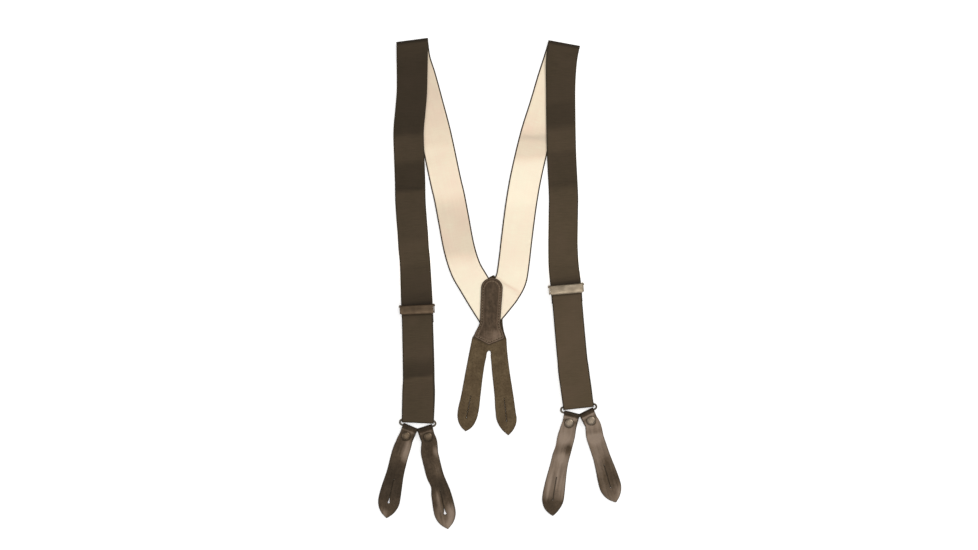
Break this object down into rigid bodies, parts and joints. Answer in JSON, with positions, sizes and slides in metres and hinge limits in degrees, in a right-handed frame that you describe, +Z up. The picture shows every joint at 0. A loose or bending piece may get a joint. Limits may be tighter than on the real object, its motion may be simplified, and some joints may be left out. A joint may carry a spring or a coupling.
{
  "type": "suspenders",
  "caption": "Button-on elastic trouser braces with a forked leather back patch, lever adjusters, wire rings and riveted leather button tabs, laid flat and folded at the shoulders.",
  "frame": {"origin": "middle of the bounding box on the plane the braces lie on", "axes": "+X across to the wearer's left strap as seen from the front, +Y towards the shoulder folds, +Z up from the table"},
  "size_m": [0.2917, 0.589, 0.0093],
  "materials": {
    "webbing": "ribbed woven elastic webbing, dark olive brown outside and cream inside",
    "tab_leather": "dark brown smooth leather, satin",
    "patch_leather": "brown leather, suede side out on the legs, smooth lining",
    "adjuster_metal": "warm satin metal",
    "ring_metal": "dark antique wire",
    "rivet_metal": "antique brass",
    "thread": "waxed sewing thread"
  },
  "bodies": {
    "back": {"back_fork": "patch_leather", "back_lining": "patch_leather", "back_seam_thread": "thread", "left_strap_back": "webbing", "right_strap_back": "webbing", "left_strap_fold": "webbing", "right_strap_fold": "webbing"},
    "left_front": {"left_strap_front": "webbing"},
    "left_lower": {"left_strap_loop": "webbing"},
    "left_adjuster": {"left_adjuster_frame": "adjuster_metal", "left_adjuster_pin": "adjuster_metal"},
    "left_lever": {"left_adjuster_lever": "adjuster_metal"},
    "left_ring": {"left_ring": "ring_metal"},
    "left_outer_tab": {"left_outer_tab": "tab_leather", "left_outer_rivet_cap": "rivet_metal", "left_outer_rivet_base": "rivet_metal"},
    "left_inner_tab": {"left_inner_tab": "tab_leather", "left_inner_rivet_cap": "rivet_metal", "left_inner_rivet_base": "rivet_metal"},
    "right_front": {"right_strap_front": "webbing"},
    "right_lower": {"right_strap_loop": "webbing"},
    "right_adjuster": {"right_adjuster_frame": "adjuster_metal", "right_adjuster_pin": "adjuster_metal"},
    "right_lever": {"right_adjuster_lever": "adjuster_metal"},
    "right_ring": {"right_ring": "ring_metal"},
    "right_outer_tab": {"right_outer_tab": "tab_leather", "right_outer_rivet_cap": "rivet_metal", "right_outer_rivet_base": "rivet_metal"},
    "right_inner_tab": {"right_inner_tab": "tab_leather", "right_inner_rivet_cap": "rivet_metal", "right_inner_rivet_base": "rivet_metal"}
  },
  "joints": [
    {"name": "left_shoulder_fold", "type": "hinge", "parent": "back", "child": "left_front", "pos_m": [-0.104, 0.29, 0.00215], "axis": [-0.9914, -0.1305, 0], "range_deg": [0, 175], "deforming": ["left_strap_fold"]},
    {"name": "left_loop_slide", "type": "slide", "parent": "left_front", "child": "left_lower", "axis": [-0.045, 0.999, 0], "range_m": [-0.0375, 0.025], "deforming": ["left_strap_loop"]},
    {"name": "left_adjuster_slide", "type": "slide", "parent": "left_lower", "child": "left_adjuster", "axis": [-0.045, 0.999, 0], "range_m": [-0.0375, 0.025]},
    {"name": "left_adjuster_lever_hinge", "type": "hinge", "parent": "left_adjuster", "child": "left_lever", "pos_m": [-0.09826, -0.0269, 0.0078], "axis": [-0.999, -0.045, 0], "range_deg": [0, 100]},
    {"name": "left_ring_hinge", "type": "hinge", "parent": "left_lower", "child": "left_ring", "pos_m": [-0.0973, -0.1639, 0.0031], "axis": [-0.999, 0.0436, 0], "range_deg": [-60, 75]},
    {"name": "left_outer_tab_hinge", "type": "hinge", "parent": "left_ring", "child": "left_outer_tab", "pos_m": [-0.10731, -0.17304, 0.0031], "axis": [-0.9239, 0.3827, 0], "range_deg": [-60, 60]},
    {"name": "left_inner_tab_hinge", "type": "hinge", "parent": "left_ring", "child": "left_inner_tab", "pos_m": [-0.08813, -0.17388, 0.0031], "axis": [-0.9537, -0.3007, 0], "range_deg": [-60, 60]},
    {"name": "right_shoulder_fold", "type": "hinge", "parent": "back", "child": "right_front", "pos_m": [0.0778, 0.2863, 0.00215], "axis": [-0.9836, 0.1805, 0], "range_deg": [0, 175], "deforming": ["right_strap_fold"]},
    {"name": "right_loop_slide", "type": "slide", "parent": "right_front", "child": "right_lower", "axis": [-0.0847, 0.9964, 0], "range_m": [-0.0375, 0.025], "deforming": ["right_strap_loop"]},
    {"name": "right_adjuster_slide", "type": "slide", "parent": "right_lower", "child": "right_adjuster", "axis": [-0.0847, 0.9964, 0], "range_m": [-0.0375, 0.025]},
    {"name": "right_adjuster_lever_hinge", "type": "hinge", "parent": "right_adjuster", "child": "right_lever", "pos_m": [0.0801, -0.00251, 0.0078], "axis": [-0.9964, -0.0847, 0], "range_deg": [0, 100]},
    {"name": "right_ring_hinge", "type": "hinge", "parent": "right_lower", "child": "right_ring", "pos_m": [0.0951, -0.1465, 0.0031], "axis": [-0.9942, -0.108, 0], "range_deg": [-60, 75]},
    {"name": "right_outer_tab_hinge", "type": "hinge", "parent": "right_ring", "child": "right_outer_tab", "pos_m": [0.10568, -0.15497, 0.0031], "axis": [-0.8973, -0.4415, 0], "range_deg": [-60, 60]},
    {"name": "right_inner_tab_hinge", "type": "hinge", "parent": "right_ring", "child": "right_inner_tab", "pos_m": [0.08659, -0.15705, 0.0031], "axis": [-0.9711, 0.2385, 0], "range_deg": [-60, 60]}
  ],
  "couplings": [
    {"joint": "left_adjuster_slide", "follows": "left_loop_slide", "ratio": 1},
    {"joint": "right_adjuster_slide", "follows": "right_loop_slide", "ratio": 1}
  ]
}
